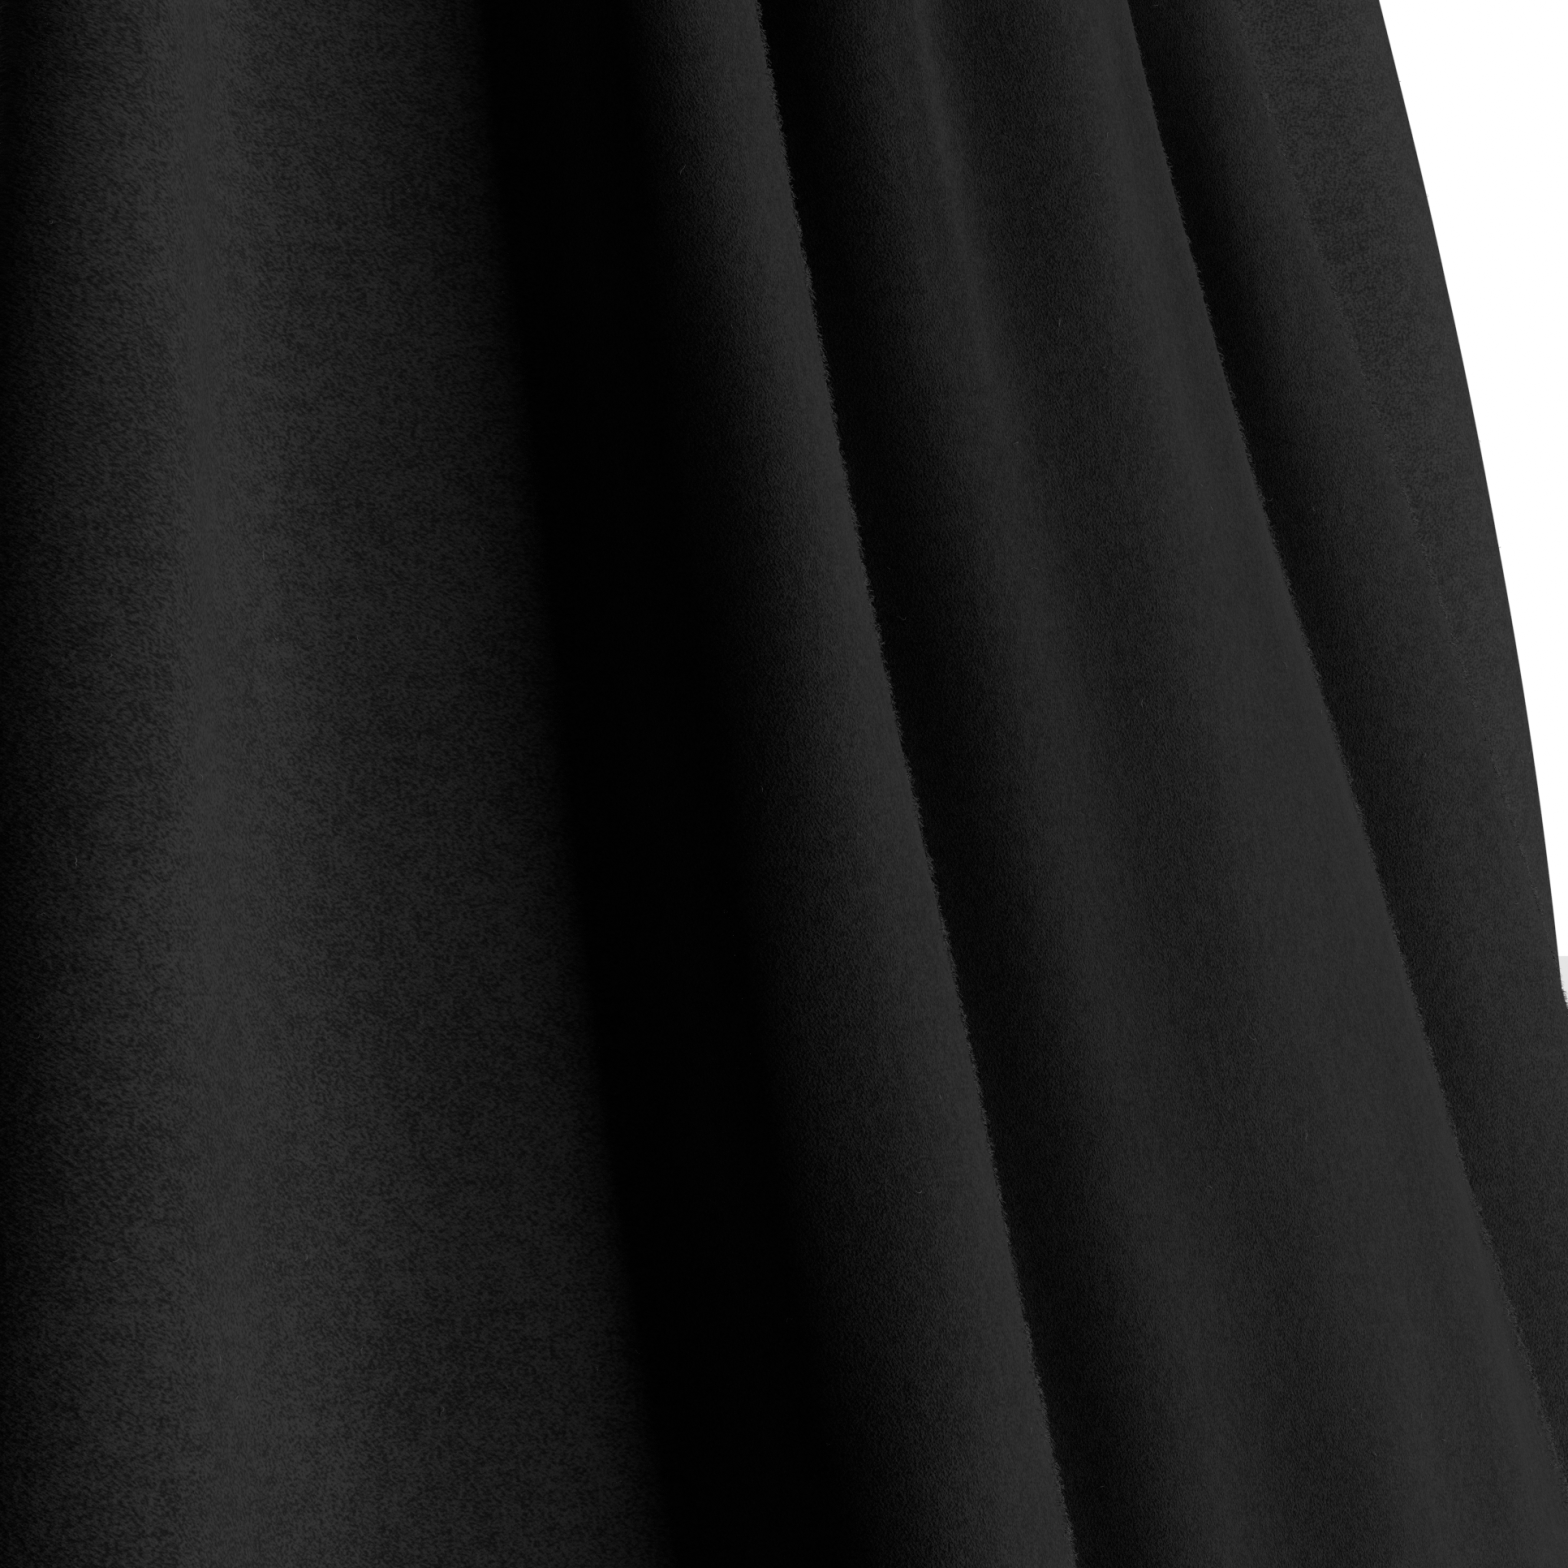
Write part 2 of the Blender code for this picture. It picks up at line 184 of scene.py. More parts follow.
def soft_relief(lengths, hem, size, waves):
    """Slow swells of the hanging cloth: a sum of sines, each a whole number of times round the hem.

    Its weight grows from nothing at the waist to 1 where the folds are deep.
    """
    rng = np.random.default_rng(SWELL_SEED)
    run = run_along(hem)
    turn = 2 * np.pi * run / run[-1]
    times = rng.integers(*SWELL_TIMES, waves)[:, None, None]
    slant = rng.uniform(-SWELL_SLANT, SWELL_SLANT, waves)[:, None, None]
    start = rng.uniform(0, 2 * np.pi, waves)[:, None, None]
    total = np.sin(times * turn + slant * lengths[:, None] + start).sum(axis=0)
    weight = np.clip((lengths - SWELL_FROM) / SWELL_FADE, 0, 1)[:, None]
    return total * weight * size / np.sqrt(waves)


def crease(points, column, height, width, drops):
    """A narrow ridge down one column, which grows and fades between the four drops."""
    run = np.cumsum(np.linalg.norm(np.diff(points, axis=1, prepend=points[:, :1]), axis=2), axis=1)
    off = (run - run[:, column : column + 1]) / width
    share = np.interp(-points[:, :, 2], drops, (0, 1, 1, 0))
    return height * np.exp(-(off**2)) * share**2 * (3 - 2 * share)


def rounded_bend(points, first, last, passes):
    """Columns first to last, eased towards their neighbours' mean, as stiff cloth rounds a sharp bend.

    Each pass moves a point half the way, times sin^2 of its share of the span.
    """
    share = np.clip((np.arange(points.shape[1]) - first) / (last - first), 0, 1)
    weight = np.sin(np.pi * share)[:, None] ** 2 / 2
    for _ in range(passes):
        mean = (np.roll(points, 1, axis=1) + np.roll(points, -1, axis=1)) / 2
        points = points + weight * (mean - points)
    return points


BEND_COLUMNS = (10.5 * COLUMNS_A_FOLD, 11.6 * COLUMNS_A_FOLD)
BEND_PASSES = 60
CREASE_COLUMN = round(10.385 * COLUMNS_A_FOLD)
CREASE_HEIGHT = 0.0010
CREASE_WIDTH = 0.0028
CREASE_DROPS = (0.24, 0.34, 0.41, 0.48)
SWELL_SEED = 7
SWELL_TIMES = (20, 64)
SWELL_SLANT = 50.0
SWELL_FROM = 0.06
SWELL_FADE = 0.25
SWELL_SIZE = 0.0005
SWELL_WAVES = 14
fine_from, fine_to, fine_step = FINE_ROWS
coarse_rows = np.arange(0, SKIRT_LENGTH + COARSE_ROW_STEP / 2, COARSE_ROW_STEP)
coarse_rows = coarse_rows[(coarse_rows < fine_from - ROW_CLEARANCE) | (coarse_rows > fine_to)]
row_lengths = np.sort(np.concatenate([coarse_rows, np.arange(fine_from, fine_to, fine_step)]))
row_lengths[-1] = SKIRT_LENGTH
top_drop = BAND_DROP - SEAM_PRESS
ring_drops = np.arange(top_drop, top_drop + SKIRT_LENGTH + RING_STEP, RING_STEP)
rings = np.stack([ring(drop) for drop in ring_drops])
skirt = rounded_bend(read_rows(rings, row_lengths), *BEND_COLUMNS, BEND_PASSES)
relief = soft_relief(row_lengths, skirt[-1], SWELL_SIZE, SWELL_WAVES)
relief += crease(skirt, CREASE_COLUMN, CREASE_HEIGHT, CREASE_WIDTH, CREASE_DROPS)
skirt += outward_normals(skirt) * relief[:, :, None]
skirt_normals = outward_normals(skirt)
skirt_normals[0, :, 2] = 0
skirt_normals[0] /= np.linalg.norm(skirt_normals[0], axis=1, keepdims=True)


# Brushed wool
# Woven wool, felted and brushed until the weave is gone: a matt mat of short black fibres that lie
# mostly down the cloth, soft light and dark patches, and a bloom of raised hair at grazing angles.
class Socket:
    """A node's output in a material. Sums on it add Math nodes, and node() adds any other kind."""

    def __init__(self, tree, output=None):
        self.tree = tree
        self.output = output

    def node(self, kind, settings=None, sockets=None, out=0):
        """Adds a node: its settings first, then its sockets, by name or number. Returns one output."""
        made = self.tree.nodes.new("ShaderNode" + kind)
        settings = dict(settings or {})
        stops = settings.pop("stops", ())
        for name, value in settings.items():
            setattr(made, name, value)
        for k, (place, shade) in enumerate(stops):
            ramp = made.color_ramp.elements
            stop = ramp[k] if k < 2 else ramp.new(place)
            stop.position = place
            stop.color = (shade, shade, shade, 1)
        for name, value in (sockets or {}).items():
            if isinstance(value, Socket):
                self.tree.links.new(value.output, made.inputs[name])
            else:
                made.inputs[name].default_value = value
        return Socket(self.tree, made.outputs[out] if made.outputs else None)

    def math(self, operation, first, second):
        return self.node("Math", {"operation": operation}, {0: first, 1: second})

    def __add__(self, other):
        return self.math("ADD", self, other)

    def __mul__(self, other):
        return self.math("MULTIPLY", self, other)

    def __sub__(self, other):
        return self.math("SUBTRACT", self, other)

    def __rsub__(self, other):
        return self.math("SUBTRACT", other, self)

    __radd__ = __add__
    __rmul__ = __mul__


def new_material(name):
    """A bare material: the socket that starts its nodes, and a call that joins its shader up."""
    material = bpy.data.materials.new(name)
    material.use_nodes = True
    tree = material.node_tree
    tree.nodes.clear()

    def finish(shader):
        output = tree.nodes.new("ShaderNodeOutputMaterial")
        tree.links.new(shader.output, output.inputs["Surface"])
        return material

    return Socket(tree), finish


def grey(value):
    return (value, value, value, 1)


def mix_colour(start, share, low, high):
    return start.node("Mix", {"data_type": "RGBA"}, {"Factor": share, 6: low, 7: high}, out=2)


def fibre_noise(start, place, turn_degrees, width, length, detail=2.0):
    """Streaks of noise that are width wide and length long, turned from straight down the cloth."""
    turn = (0, 0, np.radians(turn_degrees))
    turned = start.node("Mapping", {"vector_type": "TEXTURE"}, {"Vector": place, "Rotation": turn})
    scale = (1 / width, 1 / length, 1)
    stretched = start.node("Mapping", {"vector_type": "POINT"}, {"Vector": turned, "Scale": scale})
    noise = {"Vector": stretched, "Scale": 1.0, "Detail": detail, "Roughness": 0.6}
    return start.node("TexNoise", {"noise_dimensions": "2D"}, noise)


WOOL_DARK = 0.002
WOOL_PALE = 0.029
WOOL_SHEEN = 0.35
SHEEN_SPREAD = 0.35
NAP_HEIGHT = 0.0006
MOTTLE_SIZE = (0.0022, 0.0028)
MOTTLE_HEIGHT = 0.35
CLOUD_SIZE = (0.018, 0.030)
FIBRE_CONTRAST = 5.8
MOTTLE_CONTRAST = 1.2
CLOUD_CONTRAST = 0.5

# The fibres lie three ways: degrees from straight down the cloth, width, length and share
FIBRE_LAYERS = (
    (24, 0.00034, 0.0007, 0.42),
    (-40, 0.00032, 0.0006, 0.32),
    (68, 0.00032, 0.0005, 0.26),
)


def brushed_wool(name):
    """Matt black wool: three layers of streaks for the nap, over soft mottle and broad clouds."""
    start, finish = new_material(name)
    cut = start.node("UVMap", {"uv_map": "cut"})
    layers = [fibre_noise(start, cut, *layer[:3]) * layer[3] for layer in FIBRE_LAYERS]
    fibres = layers[0] + layers[1] + layers[2]
    mottle = fibre_noise(start, cut, 10, *MOTTLE_SIZE, 3.0)
    cloud = fibre_noise(start, cut, 0, *CLOUD_SIZE)
    shade = (fibres - 0.5) * FIBRE_CONTRAST + (mottle - 0.5) * MOTTLE_CONTRAST
    shade = shade + (cloud - 0.5) * CLOUD_CONTRAST + 0.5
    shade = start.node("Clamp", None, {"Value": shade})
    colour = mix_colour(start, shade, grey(WOOL_DARK), grey(WOOL_PALE))
    height = fibres + mottle * MOTTLE_HEIGHT
    bump = start.node("Bump", None, {"Strength": 0.9, "Distance": NAP_HEIGHT, "Height": height})
    shader = start.node(
        "BsdfPrincipled",
        None,
        {
            "Base Color": colour,
            "Roughness": 0.96 - shade * 0.08,
            "Specular IOR Level": 0.25,
            "Sheen Weight": WOOL_SHEEN,
            "Sheen Roughness": SHEEN_SPREAD,
            "Normal": bump,
        },
    )
    return finish(shader)


wool = brushed_wool("brushed wool")


# The panels
# The front and the two backs, each one piece of cloth. Their side edges dip at the seams, where thread
# holds them together, and the hem is turned up inside on the panel itself, round a soft fold.
HEM_TURN_UP = 0.036
HEM_RADIUS = WALL / 2 + 0.0004
HEM_TURN_STEPS = 7
SEAM_DIP = 0.0005
SEAM_DIP_WIDTH = 0.003
SHARP_ANGLE = np.radians(60)


def grid_faces(rows, columns, first=0):
    """The quads of a grid of points, whose right-hand side is out when rows run down and columns round."""
    index = first + np.arange(rows * columns).reshape(rows, columns)
    return np.stack([index[:-1, :-1], index[1:, :-1], index[1:, 1:], index[:-1, 1:]], axis=-1).reshape(-1, 4)


def rim_faces(rows, columns):
    """Quads that join the edges of two grids, the second straight after the first."""
    index = np.arange(rows * columns).reshape(rows, columns)
    loop = np.concatenate([index[0, :-1], index[:-1, -1], index[-1, :0:-1], index[:0:-1, 0]])
    after = np.roll(loop, -1)
    count = rows * columns
    return np.stack([loop, after, after + count, loop + count], axis=-1)


def add_object(name, mesh, material):
    """A finished mesh as a smooth object of one material in the scene."""
    mesh.shade_smooth()
    mesh.materials.append(material)
    made = bpy.data.objects.new(name, mesh)
    bpy.context.scene.collection.objects.link(made)
    return made


def add_wall(name, middle, normals, thickness, material, cut):
    """A closed sheet of cloth: half its thickness to each side of a grid of points, its rims joined.

    Its faces are turned outwards, and cut gives each point of the grid its place on the flat cloth.
    """
    rows, columns = middle.shape[:2]
    half = normals * thickness / 2
    points = np.concatenate([(middle + half).reshape(-1, 3), (middle - half).reshape(-1, 3)])
    outer = grid_faces(rows, columns)
    inner = grid_faces(rows, columns, rows * columns)[:, ::-1]
    faces = np.concatenate([outer, inner, rim_faces(rows, columns)[:, ::-1]])
    mesh = bpy.data.meshes.new(name)
    mesh.from_pydata(points.tolist(), [], faces.tolist())
    triangles = faces[:, [0, 1, 2, 0, 2, 3]].reshape(-1, 3)
    a, b, c = (points[triangles[:, k]] for k in range(3))
    if np.einsum("ij,ij->i", a, np.cross(b, c)).sum() < 0:
        mesh.flip_normals()
    uv = np.tile(cut.reshape(-1, 2), (2, 1))
    corner = np.empty(len(mesh.loops), np.int32)
    mesh.loops.foreach_get("vertex_index", corner)
    layer = mesh.uv_layers.new(name="cut")
    layer.data.foreach_set("uv", uv[corner].astype(np.float32).ravel())
    made = add_object(name, mesh, material)
    made.data.set_sharp_from_angle(angle=SHARP_ANGLE)
    return made


def flat_cut(points, extra):
    """The panel laid flat, as a sector of a ring: its angle, and its inner and outer radius.

    Top and bottom edges keep their lengths of cloth, so the sector's angle is their difference over the
    panel's length. extra is the length that goes on past the last row.
    """
    edges = np.linalg.norm(np.diff(points[[0, -1]], axis=1), axis=2).sum(axis=1)
    angle = (edges[1] - edges[0]) / SKIRT_LENGTH
    inner = edges[0] / angle
    return angle, inner, inner + SKIRT_LENGTH + extra


def cut_points(columns, lengths, angle, inner):
    """Flat coordinates of a panel's columns at lengths down the cloth."""
    lean = (np.linspace(0, 1, columns) - 0.5) * angle
    reach = inner + lengths[:, None]
    return np.stack([reach * np.sin(lean), -reach * np.cos(lean)], axis=-1)


def add_panel(name, columns):
    """A panel with its hem turned up inside, and its side edges dipped and pressed together at the seams."""
    points = skirt[:, columns].copy()
    normals = skirt_normals[:, columns]
    widths = np.linalg.norm(np.diff(points, axis=1), axis=2)
    run = np.concatenate([np.zeros((len(points), 1)), np.cumsum(widths, axis=1)], axis=1)
    from_edge = np.minimum(run, run[:, -1:] - run)
    points -= normals * (SEAM_DIP * np.exp(-((from_edge / SEAM_DIP_WIDTH) ** 2)))[:, :, None]
    for edge, inside in ((0, 1), (-1, -2)):
        inward = points[:, inside] - points[:, edge]
        points[:, edge] -= inward * SEAM_PRESS / np.linalg.norm(inward, axis=1, keepdims=True)

    down = points[-1] - points[-2]
    down /= np.linalg.norm(down, axis=1, keepdims=True)
    turn = np.linspace(0, np.pi, HEM_TURN_STEPS)[1:, None, None]
    round_hem = points[-1] + HEM_RADIUS * (np.sin(turn) * down - (1 - np.cos(turn)) * normals[-1])
    round_normals = np.cos(turn) * normals[-1] + np.sin(turn) * down
    up_rows = np.flatnonzero(row_lengths >= SKIRT_LENGTH - HEM_TURN_UP)[-2::-1]
    middle = np.concatenate([points, round_hem, points[up_rows] - 2 * HEM_RADIUS * normals[up_rows]])
    facing = np.concatenate([normals, round_normals, -normals[up_rows]])

    angle, inner, outer = flat_cut(points, HEM_TURN_UP)
    lengths = np.concatenate(
        [
            row_lengths,
            SKIRT_LENGTH + HEM_RADIUS * turn.ravel(),
            SKIRT_LENGTH + np.pi * HEM_RADIUS + SKIRT_LENGTH - row_lengths[up_rows],
        ]
    )
    cut = cut_points(points.shape[1], lengths, angle, inner)
    piece = add_wall(name, middle, facing, WALL, wool, cut)
    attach(piece, "skirt")
    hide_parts(name)
    width = 2 * outer * np.sin(angle / 2)
    length = outer - inner * np.cos(angle / 2)
    area = angle * (outer**2 - inner**2) / 2
    print(f"{name}: cut {width:.3f} x {length:.3f} m, {area:.4f} m2")
    return points, normals


panels = {
    "skirt_back_right": slice(0, RIGHT_SEAM + 1),
    "skirt_front": slice(RIGHT_SEAM, LEFT_SEAM + 1),
    "skirt_back_left": slice(LEFT_SEAM, None),
}
laid = {name: add_panel(name, columns) for name, columns in panels.items()}


# Raised hair
# Brushing lifts short hairs out of the felt in small tufts, which stand off most along the crests of
# the front's deep folds. A few longer hairs lie loose all over the cloth, bent and curled. Both are black
# wool, given a grey far paler than the cloth's as painted sheen, for the light that they catch.
HAIR_SEED = 5
TUFTS = 2350
TUFT_HAIRS = 6
TUFT_SPREAD = 0.0009
TUFT_DROPS = (0.38, 0.66)
TUFT_CRESTS = ((9.65, 9.75), (11.67, 11.77), (12.48, 12.58))
TUFT_TURN = (0.9, 0.45)
HAIR_LENGTH = (0.0004, 0.0016)
HAIR_LIFT = (15, 70)
HAIR_BEND = 0.8
HAIR_FALL = 0.5
HAIR_RADIUS = 0.000045
HAIR_ROOT = 0.00005
LOOSE_HAIRS = 2600
LOOSE_LENGTH = (0.0007, 0.0028)
LOOSE_POINTS = 7
LOOSE_CURL = 2.6
LOOSE_WAVE = (0.2, 0.9)
LOOSE_WAVE_TURN = (4, 11)
LOOSE_RISE = 0.00035
LOOSE_RADIUS = 0.00005
TUBE_GUIDE = (0.31, 0.83, 0.47)


def tubes(paths, radii, sides):
    """Round tubes along many paths of equal count, (tubes, points, 3), with a radius a point.

    Each ring lies across its path: two vectors square to the path, turned evenly through a circle.
    TUBE_GUIDE is a slant that no path follows, from which the first of the two is worked out.
    """
    count, steps = paths.shape[:2]
    along = np.gradient(paths, axis=1)
    along /= np.linalg.norm(along, axis=2, keepdims=True)
    span = paths[:, -1] - paths[:, 0]
    guide = np.cross(span, np.array(TUBE_GUIDE))[:, None, :]
    first = np.cross(along, guide)
    first /= np.linalg.norm(first, axis=2, keepdims=True)
    second = np.cross(along, first)
    turn = 2 * np.pi * np.arange(sides) / sides
    around = first[:, :, None] * np.cos(turn)[:, None] + second[:, :, None] * np.sin(turn)[:, None]
    points = paths[:, :, None] + around * np.broadcast_to(radii, (count, steps))[:, :, None, None]
    index = np.arange(count * steps * sides).reshape(count, steps, sides)
    after = np.roll(index, -1, axis=2)
    walls = np.stack([index[:, :-1], after[:, :-1], after[:, 1:], index[:, 1:]], axis=-1).reshape(-1, 4)
    return points.reshape(-1, 3), walls, index[:, 0, ::-1], index[:, -1]


def add_tubes(name, paths, radii, sides, material):
    """Tubes as one piece, their ends closed, riding on the skirt."""
    points, walls, starts, ends = tubes(paths, radii, sides)
    mesh = bpy.data.meshes.new(name)
    mesh.from_pydata(points.tolist(), [], walls.tolist() + starts.tolist() + ends.tolist())
    made = add_object(name, mesh, material)
    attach(made, "skirt")
    return made


def unit(vectors):
    return vectors / np.linalg.norm(vectors, axis=-1, keepdims=True)


def scatter(rng, points, count, drops=(0, 2 * SKIRT_LENGTH), bands=((0, np.inf),)):
    """Places between a grid's rows and columns, as many on each part of the cloth as its area asks.

    They lie within the drops and within the bands of columns.
    """
    down = points[1:, :-1] - points[:-1, :-1]
    across = points[:-1, 1:] - points[:-1, :-1]
    area = np.linalg.norm(np.cross(down, across), axis=2)
    area[(-points[:-1, :-1, 2] < drops[0]) | (-points[:-1, :-1, 2] > drops[1])] = 0
    column = np.arange(area.shape[1])[:, None]
    inside = ((column >= np.array(bands)[:, 0]) & (column < np.array(bands)[:, 1])).any(axis=1)
    area[:, ~inside] = 0
    cell = rng.choice(area.size, count, p=(area / area.sum()).ravel())
    row, column = np.unravel_index(cell, area.shape)
    return row + rng.random(count), column + rng.random(count)


def on_cloth(points, normals, row, column):
    """The outer face's point at each place, with its normal and one step down and one across."""
    row = np.clip(row, 0, len(points) - 1.001)
    column = np.clip(column, 0, points.shape[1] - 1.001)
    r, c = row.astype(int), column.astype(int)
    down_share, across_share = (row - r)[:, None], (column - c)[:, None]

    def read(grid):
        upper = grid[r, c] * (1 - across_share) + grid[r, c + 1] * across_share
        lower = grid[r + 1, c] * (1 - across_share) + grid[r + 1, c + 1] * across_share
        return upper * (1 - down_share) + lower * down_share

    normal = unit(read(normals))
    place = read(points) + normal * (WALL / 2 - HAIR_ROOT)
    return place, normal, points[r + 1, c] - points[r, c], points[r, c + 1] - points[r, c]


def tuft_paths(rng, points, normals, bands):
    """Short bent hairs in tufts: those of a tuft lean alike, at their own angles off the cloth.

    Each is two straight halves, the upper one turned aside and laid lower.
    """
    row, column = scatter(rng, points, TUFTS, TUFT_DROPS, bands)
    down, across = on_cloth(points, normals, row, column)[2:]
    count = TUFTS * TUFT_HAIRS
    spread = rng.normal(0, TUFT_SPREAD, (2, count))
    row_step, column_step = (np.linalg.norm(step, axis=1) for step in (down, across))
    row = np.repeat(row, TUFT_HAIRS) + spread[0] / np.repeat(row_step, TUFT_HAIRS)
    column = np.repeat(column, TUFT_HAIRS) + spread[1] / np.repeat(column_step, TUFT_HAIRS)
    root, normal, down, across = on_cloth(points, normals, row, column)
    turn = np.repeat(rng.normal(0, TUFT_TURN[0], TUFTS), TUFT_HAIRS) + rng.normal(0, TUFT_TURN[1], count)
    lift = np.radians(rng.uniform(*HAIR_LIFT, count))[:, None]
    half = rng.uniform(*HAIR_LENGTH, count)[:, None] / 2
    bend = rng.normal(0, HAIR_BEND, count)

    def step(turn, lift):
        lie = np.cos(turn)[:, None] * unit(down) + np.sin(turn)[:, None] * unit(across)
        return half * (np.cos(lift) * lie + np.sin(lift) * normal)

    middle = root + step(turn, lift)
    return np.stack([root, middle, middle + step(turn + bend, lift * HAIR_FALL)], axis=1)


def loose_paths(rng, points, normals, count):
    """Loose hairs that lie on the cloth, their direction turning along them and their middle raised."""
    row, column = scatter(rng, points, count)
    root, normal, down, across = on_cloth(points, normals, row, column)
    share = np.linspace(0, 1, LOOSE_POINTS)
    start = rng.uniform(0, 2 * np.pi, (count, 1))
    curl = rng.normal(0, LOOSE_CURL, (count, 1))
    wave = rng.uniform(*LOOSE_WAVE, (count, 1)) * np.sin(share * rng.uniform(*LOOSE_WAVE_TURN, (count, 1)))
    turn = (start + curl * share + wave)[:, :, None]
    step = np.cos(turn) * unit(down)[:, None] + np.sin(turn) * unit(across)[:, None]
    length = rng.uniform(*LOOSE_LENGTH, count)[:, None, None]
    along = np.cumsum(step, axis=1) * length / LOOSE_POINTS
    rise = LOOSE_RISE * np.sin(np.pi * share * 0.8)[:, None]
    return root[:, None] + along - along[:, :1] + rise * normal[:, None]


def hair_material(name, shade):
    """A wool hair: matt, a little paler along some stretches.

    Its grey is painted sheen: far paler than the black cloth, it stands for the light that black hairs
    catch.
    """
    start, finish = new_material(name)
    place = start.node("TexCoord", None, None, out=3)
    grain = start.node("TexNoise", None, {"Vector": place, "Scale": 900.0, "Detail": 2.0})
    colour = mix_colour(start, grain, grey(shade * 0.5), grey(shade * 1.5))
    return finish(
        start.node("BsdfPrincipled", None, {"Base Color": colour, "Roughness": 0.75 - grain * 0.2})
    )


rng = np.random.default_rng(HAIR_SEED)
# The hairs' greys, 0.09 and 0.14, are painted sheen: paler than the black wool so that they shine where
# light catches them.
raised_hair = hair_material("raised wool hair with painted sheen", 0.09)
loose_hair = hair_material("loose wool hair with painted sheen", 0.14)
taper = np.array([1.0, 0.8, 0.3]) * HAIR_RADIUS
crests = np.array(TUFT_CRESTS) * COLUMNS_A_FOLD - RIGHT_SEAM
nap = add_tubes("raised_hair", tuft_paths(rng, *laid["skirt_front"], crests), taper, 3, raised_hair)
loose = [loose_paths(rng, *cloth, LOOSE_HAIRS // len(laid)) for cloth in laid.values()]
taper = np.interp(np.linspace(0, 1, LOOSE_POINTS), (0, 0.3, 1), (0.6, 1.0, 0.3)) * LOOSE_RADIUS
strays = add_tubes("loose_hair", np.concatenate(loose), taper, 3, loose_hair)


# The waistband
# One straight strip of the same wool, folded along its top edge into two layers. It is split at the
# centre back over the zip, with just room there for the loop of the slider.
BAND_CLOTH = 0.0009
BAND_OPENING = 0.0016
BAND_BOW = 0.0003
BAND_SIDE_ROWS = 9
BAND_TURN_ROWS = 9


def level_normals(line):
    """Unit normals of an upright wall on a level line round the waist."""
    return outward_normals(np.stack([line, line - (0, 0, BAND_HEIGHT)]))[0]


layer = WALL / 2 - BAND_CLOTH / 2
waist_line = ring(BAND_DROP) * (1, 1, 0)
band_line = waist_line[::2].copy()
band_out = level_normals(band_line)
for edge, inside in ((0, 1), (-1, -2)):
    inward = band_line[inside] - band_line[edge]
    band_line[edge] += inward * BAND_OPENING / 2 / np.linalg.norm(inward)


def band_section():
    """The strip's section from its outer lower edge: how far out, up and turned each row is.

    The outer layer runs up with a slight bow, turns over a half circle and the inner layer runs down.
    """
    side = np.linspace(0, 1, BAND_SIDE_ROWS)
    top = BAND_DROP - layer - BAND_CLOTH / 2
    rise = -BAND_DROP + side * (top + BAND_DROP)
    bow = layer + BAND_BOW * np.sin(np.pi * side)
    turn = np.linspace(0, np.pi, BAND_TURN_ROWS)[1:-1]
    out = np.concatenate([bow, layer * np.cos(turn), np.full(BAND_SIDE_ROWS, -layer)])
    up = np.concatenate([rise, top + layer * np.sin(turn), rise[::-1]])
    facing = np.concatenate([np.zeros(BAND_SIDE_ROWS), turn, np.full(BAND_SIDE_ROWS, np.pi)])
    return out[:, None, None], up[:, None, None], facing[:, None, None]


out, up, facing = band_section()
band_middle = band_line + out * band_out + up * np.array([0, 0, 1])
band_facing = np.cos(facing) * band_out + np.sin(facing) * np.array([0, 0, 1])
band_run = run_along(band_line)
band_rise = np.append(0, np.cumsum(np.hypot(np.diff(out.ravel()), np.diff(up.ravel()))))
band_cut = np.stack(np.broadcast_arrays(band_run, band_rise[:, None]), axis=-1)
waistband = add_wall("waistband", band_middle, band_facing, BAND_CLOTH, wool, band_cut)
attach(waistband, "skirt")
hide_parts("waistband")
print(f"waistband: cut {band_run[-1]:.3f} x {band_rise[-1]:.3f} m")


# The zip
# A concealed zip is sewn inside the centre back: two woven tapes, each with a nylon coil along its
# edge, the two coils meshed. The slider sits at the top, inside the band, and its tab hangs outside.
ZIP_LENGTH = 0.155
TAPE_WIDTH = 0.0135
TAPE_WALL = 0.0008
TAPE_CLEARANCE = 0.0006
TAPE_GAP = 0.0003
TAPE_COLUMNS = 15
TAPE_TOP = 0.0057
COIL_PITCH = 0.0013
COIL_RADIUS = 0.0009
COIL_WIRE = 0.00028
COIL_OFFSET = 0.0011
COIL_STEPS = 12
COIL_END = 0.002
COIL_FLATNESS = 0.8
ACROSS_STEP = 0.001
STITCH_LENGTH = 0.0021
STITCH_EVERY = 0.0029
STITCH_PLACES = (0.0045, 0.0115)
STITCH_END = 0.004
STITCH_ARCH = (-1.0, 0.6, 1.0, 0.6, -1.0)
THREAD = 0.00016


def read_across(places, rows, values):
    """Values on a grid, read at the same lengths along each of its rows."""
    read = np.empty((len(rows), len(places), 3))
    for k, (row, value) in enumerate(zip(rows, values)):
        along = run_along(row)
        read[k] = np.column_stack([np.interp(places, along, line) for line in value.T])
    return read


